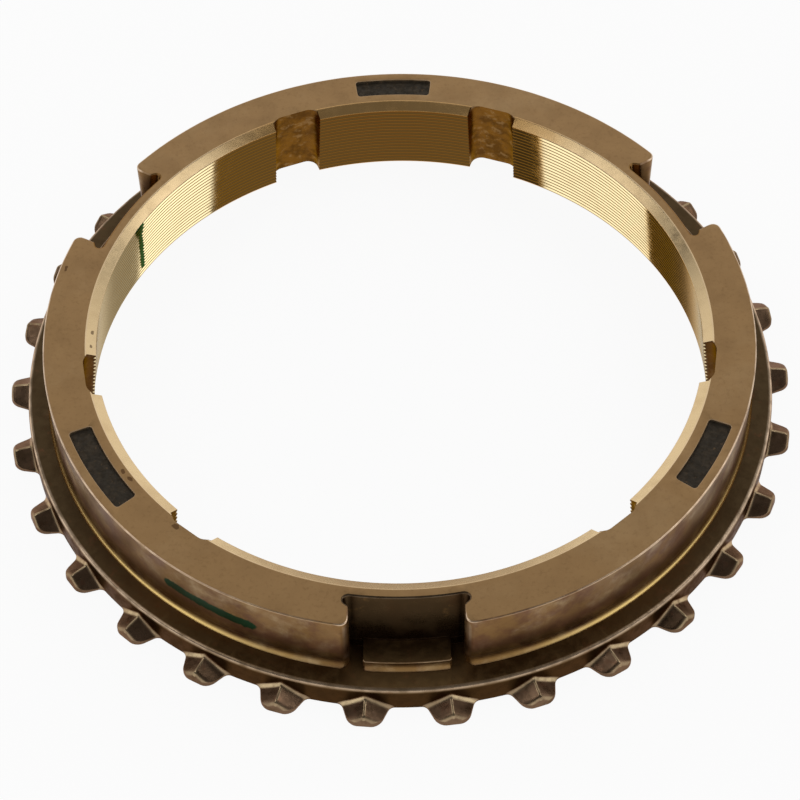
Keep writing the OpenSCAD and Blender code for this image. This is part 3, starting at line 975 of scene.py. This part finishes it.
class Metal(Graph):
    """Brass with patches of other colours, edges marked by rubbing with painted highlights, uneven gloss
    and a fine grain

    Lengths are in millimetres.
    patches: size, low and high end of the soft edge, seed, share and colour of each
    gloss: least and most roughness, and the size of the patches between them
    worn: share of the edge marks and painted edge highlights, size of their breaks, their colour and
    roughness
    grain: what the turning marks run across, their feed, the shares of marks and pits, size of the pits
    bump: strength and depth
    glance: tint that the metal keeps at a flat angle
    """

    gloss_patch = (0.35, 0.7, 3.3)
    stain_run = 0.5
    stain_share = 0.7

    def __init__(self, kit, name, base, patches, gloss, worn, grain, bump, glance=None):
        self.material = bpy.data.materials.new(name)
        self.material.use_nodes = True
        super().__init__(self.material.node_tree)
        self.kit = kit
        self.shader = self.tree.nodes["Principled BSDF"]
        self.put(self.shader, "Metallic", 1.0)
        if glance:
            self.put(self.shader, "Specular Tint", kit.colours[glance])
        self.where = self.group(kit.coordinates).outputs
        self.tone = kit.colours[base]
        for size, low, high, seed, share, other in patches:
            self.tint(self.times(self.patch(size, low, high, seed), share), other)
        smooth, rough, size = gloss
        self.gloss = self.remap(self.patch(size, *self.gloss_patch), 0.0, 1.0, smooth, rough)
        amount, breakup, other, rubbed = worn
        # Painted edge highlights, partly marks of rubbing, from the per-point edge mask
        edge = self.group(kit.wear, Amount=amount, Breakup=breakup).outputs[0]
        self.tint(edge, other)
        self.polish(edge, rubbed)
        across, feed, lines, pits, pit_size = grain
        fine = self.group(kit.grain, Feed=feed, Lines=lines, Pits=pits, Size=pit_size)
        if across:
            self.put(fine, "Across", self.where[across])
        strength, depth = bump
        relief = self.node("ShaderNodeBump", Strength=strength, Distance=depth * MM, Height=fine.outputs[0])
        self.put(self.shader, "Normal", relief.outputs[0])

    def tint(self, mask, other):
        """Lay another colour over the tone where the mask is 1"""
        self.tone = self.mix(mask, self.tone, self.kit.colours[other])
        self.put(self.shader, "Base Color", self.tone)

    def polish(self, mask, roughness):
        """Bring the roughness to a value where the mask is 1"""
        self.gloss = self.blend(mask, self.gloss, roughness)
        self.put(self.shader, "Roughness", self.gloss)

    def patch(self, size, low, high, seed):
        return self.group(self.kit.patches, Size=size, Low=low, High=high, Seed=seed).outputs[0]

    def from_back(self):
        """Degrees to either side of the back"""
        return self.minus(180.0, self.math("ABSOLUTE", self.where["Angle"]))

    def stroke(self, start, end, width, degree, across="Height"):
        """Pen stroke between two places, each an angle and a height or radius"""
        (angle, level), (to_angle, to_level) = start, end
        return self.group(
            self.kit.pen, Angle=self.where["Angle"], Height=self.where[across], From_Angle=angle,
            To_Angle=to_angle, From_Height=level, To_Height=to_level, Width=width, Around=degree).outputs[0]

    def stain(self, *places):
        """Small dark stains on the face, each an angle, a radius and a width"""
        for angle, radius, width in places:
            end = (angle + self.stain_run, radius)
            spot = self.stroke((angle, radius), end, width, FACE_DEGREE, "Radius")
            self.tint(self.times(spot, self.stain_share), "umber")


# Masks of the finishes run over degrees off the back, or over millimetres of height


def top_face(kit):
    metal = Metal(
        kit, "turned_face_brass", "tan",
        patches=[
            (5.0, 0.42, 0.72, 0.3, 0.22, "brown"), (0.45, 0.5, 0.72, 1.7, 0.3, "brown"),
            (11.0, 0.5, 0.75, 9.1, 0.08, "pale")],
        gloss=(0.34, 0.44, 3.0), worn=(0.4, 2.0, "rubbed", 0.5),
        grain=("Radius", 0.09, 0.6, 0.5, 0.22), bump=(0.3, 0.02))
    metal.stain((-42.2, 37.8, 0.5), (-57.2, 37.6, 0.3), (-55.2, 37.5, 0.35), (-104.0, 41.2, 0.3))
    return metal


def chamfer(kit):
    metal = Metal(
        kit, "turned_chamfer_brass", "pale",
        patches=[(3.0, 0.45, 0.7, 4.7, 0.2, "tan"), (0.5, 0.64, 0.72, 6.3, 0.15, "brown")],
        gloss=(0.2, 0.28, 2.0), worn=(0.6, 2.0, "rubbed", 0.5),
        grain=("Radius", 0.07, 0.8, 0.1, 0.3), bump=(0.03, 0.008))
    away = metal.from_back()
    # Orange-brown tint with painted shade at the back of the chamfer
    metal.tint(metal.remap(away, 24.0, 42.0, 0.6, 0.12), "amber")
    # Painted shade: the chamfer darker towards the front
    metal.tint(metal.remap(away, 140.0, 168.0, 0.0, 0.45), "tan")
    metal.stain((-90.4, 36.3, 0.2), (-87.0, 36.4, 0.12))
    return metal


def collar_wall(kit):
    """Wall with a reddish band, a polished hollow at its foot with a painted highlight that fades towards
    the front slot, and a pen mark
    """
    metal = Metal(
        kit, "turned_wall_brass", "wall",
        patches=[
            (6.0, 0.4, 0.66, 2.2, 0.4, "brown"), (3.2, 0.42, 0.66, 5.4, 0.75, "oxide"),
            (3.0, 0.46, 0.8, 8.4, 0.35, "pale"), (0.5, 0.58, 0.7, 1.4, 0.3, "brown")],
        gloss=(0.36, 0.48, 4.0), worn=(0.9, 2.4, "rubbed", 0.3),
        grain=("Height", 0.11, 0.8, 0.35, 0.3), bump=(0.25, 0.02))
    height = metal.where["Height"]
    metal.tint(metal.times(metal.remap(height, 5.2, 6.4), metal.remap(height, 6.6, 8.6, 0.6, 0.0)), "oxide")
    # Painted highlight in the foot's hollow, partly polished brass, fading out towards the front slot
    off_slot = metal.remap(metal.from_back(), 142.0, 170.0, 1.0, 0.05)
    foot = metal.times(metal.remap(height, 3.72, 4.5, 1.0, 0.0), off_slot)
    metal.tint(foot, "foot")
    metal.polish(foot, 0.2)
    metal.tint(metal.stroke((-38.5, 7.9), (-24.0, 7.5), 1.2, WALL_DEGREE), "ink")
    return metal


def friction_cone(kit):
    """Bright cone, with an orange-brown tint and painted shade at the back and the right, painted shade on
    the lands and groove roots, and a pen mark
    """
    metal = Metal(
        kit, "friction_cone_brass", "gold", patches=[(5.0, 0.45, 0.75, 6.1, 0.12, "tan")],
        gloss=(0.06, 0.1, 2.0), worn=(0.3, 3.0, "rubbed", 0.5),
        grain=("Height", 0.05, 0.8, 0.1, 0.25), bump=(0.08, 0.006), glance="bore_glance")
    away = metal.from_back()
    # Orange-brown tint with painted shade at the back, and on the right side from 58 to 88 degrees off the
    # back
    on_right = metal.math("GREATER_THAN", metal.where["Angle"], 0.0)
    shifted = metal.math("MULTIPLY_ADD", on_right, 8.0, away)
    metal.tint(metal.remap(shifted, 38.0, 40.0, 0.9, 0.0), "amber")
    sides = metal.times(metal.remap(away, 58.0, 61.0), metal.remap(away, 74.0, 88.0, 1.0, 0.0))
    metal.tint(metal.times(sides, metal.times(on_right, 0.75)), "amber")
    # Painted shade on the lands and the roots of the friction grooves
    grime = metal.node("ShaderNodeAttribute", {"attribute_name": "grime"}).outputs["Fac"]
    metal.tint(metal.times(grime, 0.85), "land")
    line = metal.stroke((-118.4, 11.0), (-120.1, 2.0), 0.75, BORE_DEGREE)
    blob = metal.stroke((-118.0, 11.2), (-118.6, 10.2), 1.5, BORE_DEGREE)
    metal.tint(metal.math("MAXIMUM", line, blob), "ink")
    return metal


def oil_groove(kit):
    metal = Metal(
        kit, "oil_groove_bronze", "bronze",
        patches=[
            (2.2, 0.4, 0.6, 1.2, 0.75, "umber"), (1.2, 0.52, 0.66, 7.7, 0.5, "tan"),
            (0.6, 0.55, 0.7, 2.9, 0.3, "brown")],
        gloss=(0.26, 0.42, 1.6), worn=(0.4, 1.2, "rubbed", 0.5),
        grain=(None, 0.1, 0.0, 1.0, 0.6), bump=(0.4, 0.04), glance="groove_glance")
    metal.tint(metal.remap(metal.from_back(), 60.0, 90.0, 0.0, 0.7), "umber")
    return metal


def slot_wall(kit):
    metal = Metal(
        kit, "slot_bronze", "shade",
        patches=[(6.0, 0.45, 0.7, 1.2, 0.35, "umber"), (1.6, 0.6, 0.72, 7.7, 0.25, "wall")],
        gloss=(0.26, 0.38, 2.6), worn=(0.5, 1.2, "rubbed", 0.5),
        grain=("Height", 0.2, 0.4, 0.5, 0.5), bump=(0.3, 0.02), glance="scale_glance")
    # Painted reflection: the slots towards the back are lighter
    metal.tint(metal.remap(metal.from_back(), 90.0, 130.0, 0.9, 0.0), "wall")
    return metal


def forged_flange(kit):
    """Dark scale, with painted light that makes it browner at the front, and darkest below the rim"""
    metal = Metal(
        kit, "forged_scale_brass", "scale",
        patches=[
            (3.2, 0.42, 0.68, 9.4, 0.35, "shade"), (1.8, 0.56, 0.72, 3.9, 0.4, "oxide"),
            (0.8, 0.58, 0.72, 5.2, 0.4, "umber")],
        gloss=(0.34, 0.5, 1.4), worn=(1.0, 1.6, "rubbed", 0.25),
        grain=(None, 0.1, 0.0, 1.0, 0.7), bump=(0.45, 0.05), glance="scale_glance")
    # Painted light: lighter brown towards the front
    metal.tint(metal.remap(metal.from_back(), 115.0, 160.0, 0.0, 0.25), "wall")
    metal.tint(metal.remap(metal.where["Height"], 2.9, 3.3, 0.85, 0.0), "char")
    return metal


def tooth_face(kit):
    # Painted highlights on the teeth's edges, in the chamfer's pale brass
    return Metal(
        kit, "burnished_tooth_brass", "copper",
        patches=[
            (2.2, 0.42, 0.66, 4.4, 0.5, "shade"), (1.4, 0.55, 0.7, 6.9, 0.4, "oxide"),
            (0.6, 0.56, 0.7, 2.6, 0.3, "scale")],
        gloss=(0.26, 0.4, 1.2), worn=(0.75, 1.1, "pale", 0.22),
        grain=(None, 0.1, 0.0, 1.0, 0.6), bump=(0.35, 0.04), glance="scale_glance")


def pocket_floor(kit):
    metal = Metal(
        kit, "pocket_soot", "soot",
        patches=[(0.8, 0.42, 0.62, 2.5, 0.3, "scale"), (0.5, 0.6, 0.7, 8.8, 0.4, "brown")],
        gloss=(0.42, 0.7, 0.6), worn=(0.5, 1.0, "tan", 0.5),
        grain=(None, 0.1, 0.0, 1.0, 0.45), bump=(0.8, 0.08))
    metal.put(metal.shader, "Metallic", 0.6)
    return metal


# In the order of the ring's material slots
FINISHES = (
    top_face, chamfer, collar_wall, friction_cone, oil_groove, slot_wall, forged_flange, tooth_face,
    pocket_floor)


class RING_OT_build(bpy.types.Operator):
    """Build the ring as one closed surface in its brass finishes"""

    bl_idname = "ring.build"
    bl_label = "Build Ring"

    def execute(self, context):
        scene = context.scene
        surface = ring_surface(RingShape(scene.ring_sizes, scene.ring_counts))
        kit = Kit(scene.ring_colours)
        materials = [finish(kit).material for finish in FINISHES]
        piece = bpy.data.objects.new(PIECE, ring_mesh(surface, materials))
        scene.collection.objects.link(piece)
        weighted = piece.modifiers.new("even_normals", "WEIGHTED_NORMAL")
        weighted.keep_sharp = True
        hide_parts(NODE)
        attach(piece, BODY)
        return {"FINISHED"}


def floor_material(shade):
    """Pale floor that takes a shadow, and shows near white to the camera and in metal and glass"""
    material = bpy.data.materials.new("studio_floor")
    material.use_nodes = True
    g = Graph(material.node_tree)
    shader = g.tree.nodes["Principled BSDF"]
    g.put(shader, "Roughness", 0.9)
    g.put(shader, "Specular IOR Level", 0.0)
    mottle = g.noise(g.place(), 25.0, 2.0)
    g.put(shader, "Base Color", g.mix(mottle, shade, tuple(v * FLOOR_MOTTLE for v in shade)))
    glow = g.node("ShaderNodeEmission", Strength=1.0, Color=(1.0, 1.0, 1.0))
    path = g.node("ShaderNodeLightPath").outputs
    seen = g.math("MAXIMUM", path["Is Camera Ray"], path["Is Glossy Ray"])
    seen = g.math("MAXIMUM", seen, path["Is Transmission Ray"])
    parts = (g.times(seen, FLOOR_WHITE), shader.outputs[0], glow.outputs[0])
    both = g.row("ShaderNodeMixShader", {}, parts)
    g.put(g.tree.nodes["Material Output"], "Surface", both)
    return material


def studio_world(studio):
    """Room that is white at the horizon, pale high at the back, and dim overhead and at the sides"""
    world = bpy.data.worlds.new("studio_room")
    world.use_nodes = True
    g = Graph(world.node_tree)
    direction = g.node("ShaderNodeTexCoord").outputs["Generated"]
    x, y, z = g.node("ShaderNodeSeparateXYZ", Vector=direction).outputs
    high = g.remap(y, 0.0, 0.75, studio.overhead, studio.back)
    right = g.remap(y, -0.3, 0.15, studio.overhead, studio.right)
    side = g.remap(x, -0.4, 0.4, studio.left, right)
    beside = g.times(g.remap(g.math("ABSOLUTE", x), 0.38, 0.5), g.remap(y, 0.35, 0.55, 1.0, 0.0))
    strength = g.blend(g.remap(z, 0.26, 0.42, 1.0, 0.0), g.blend(beside, high, side), 1.0)
    back = g.tree.nodes["Background"]
    g.put(back, "Color", (1.0, 1.0, 1.0))
    g.put(back, "Strength", strength)
    return world


def facing(place, target, along):
    """Placing matrix of a soft box that faces a target, with its width along a direction"""
    back = (Vector(place) - Vector(target)).normalized()
    across = Vector(along)
    across = (across - across.dot(back) * back).normalized()
    axes = Matrix((across, back.cross(across), back)).transposed()
    return Matrix.Translation(place) @ axes.to_4x4()


class RING_OT_studio(bpy.types.Operator):
    """Set the floor, the room, the lamps and the camera"""

    bl_idname = "ring.studio"
    bl_label = "Set Studio"

    floor_half = 1.5
    # Camera found from the photograph: place, height above the horizon, roll, turn about the ring and lens
    camera_at = (-0.00136, -0.16762, 0.21683)
    camera_height = radians(52.6465)
    camera_roll = -0.0154
    camera_turn = radians(-0.45)
    camera_lens = 100.79
    # Soft boxes: place, target, direction of the width, width and height
    boxes = {
        "left": ((-0.339, -0.015, 0.418), (0.0239, 0.0275, 0.0065), (-0.262, 0.46, -0.172), 0.323, 0.295),
        "right": ((0.372, 0.027, 0.398), (-0.0267, 0.0249, 0.0065), (0.149, 0.369, -0.147), 0.246, 0.292)}

    def execute(self, context):
        scene = context.scene
        studio = scene.ring_studio
        self.lay_floor(scene, tuple(studio.floor))
        scene.world = studio_world(studio)
        for name, (place, target, along, width, height) in self.boxes.items():
            lamp = bpy.data.lights.new(f"soft_box_{name}", "AREA")
            lamp.shape = "RECTANGLE"
            lamp.size, lamp.size_y = width, height
            lamp.energy = studio.glow * pi * width * height
            holder = bpy.data.objects.new(f"soft_box_{name}", lamp)
            holder.matrix_world = facing(place, target, along)
            scene.collection.objects.link(holder)
        self.set_camera(scene)
        scene.view_settings.view_transform = "Standard"
        return {"FINISHED"}

    def lay_floor(self, scene, shade):
        mesh = bpy.data.meshes.new("studio_floor")
        h = self.floor_half
        mesh.from_pydata([(-h, -h, 0), (h, -h, 0), (h, h, 0), (-h, h, 0)], [], [(0, 1, 2, 3)])
        mesh.materials.append(floor_material(shade))
        floor = bpy.data.objects.new("studio_floor", mesh)
        scene.collection.objects.link(floor)

    def set_camera(self, scene):
        data = bpy.data.cameras.new("photo_camera")
        data.lens = self.camera_lens
        data.sensor_width = 36.0
        data.clip_start, data.clip_end = 0.01, 10.0
        camera = bpy.data.objects.new("photo_camera", data)
        tilt = Matrix.Rotation(pi / 2 - self.camera_height, 4, "X")
        roll = Matrix.Rotation(self.camera_roll, 4, "Z")
        spin = Matrix.Rotation(self.camera_turn, 4, "Z")
        camera.matrix_world = Matrix.Translation(self.camera_at) @ spin @ tilt @ roll
        scene.collection.objects.link(camera)
        scene.camera = camera


class RING_PT_panel(bpy.types.Panel):
    """Sizes, colours and steps of the ring"""

    bl_idname = "RING_PT_panel"
    bl_label = "Synchronizer Ring"
    bl_space_type = "VIEW_3D"
    bl_region_type = "UI"
    bl_category = "Ring"

    def draw(self, context):
        scene = context.scene
        for operator in (RING_OT_build, RING_OT_studio):
            self.layout.operator(operator.bl_idname)
        for group in (scene.ring_sizes, scene.ring_counts, scene.ring_colours, scene.ring_studio):
            column = self.layout.column()
            for name in type(group).__annotations__:
                column.prop(group, name)


CLASSES = (RingSizes, RingCounts, RingColours, StudioSettings, RING_OT_build, RING_OT_studio, RING_PT_panel)
SETTINGS = {
    "ring_sizes": RingSizes, "ring_counts": RingCounts,
    "ring_colours": RingColours, "ring_studio": StudioSettings}


def register():
    for cls in CLASSES:
        bpy.utils.register_class(cls)
    for name, cls in SETTINGS.items():
        setattr(bpy.types.Scene, name, bpy.props.PointerProperty(type=cls))


def unregister():
    for name in SETTINGS:
        delattr(bpy.types.Scene, name)
    for cls in reversed(CLASSES):
        bpy.utils.unregister_class(cls)


def main():
    register()
    bpy.ops.ring.build()
    bpy.ops.ring.studio()


if __name__ == "__main__":
    main()
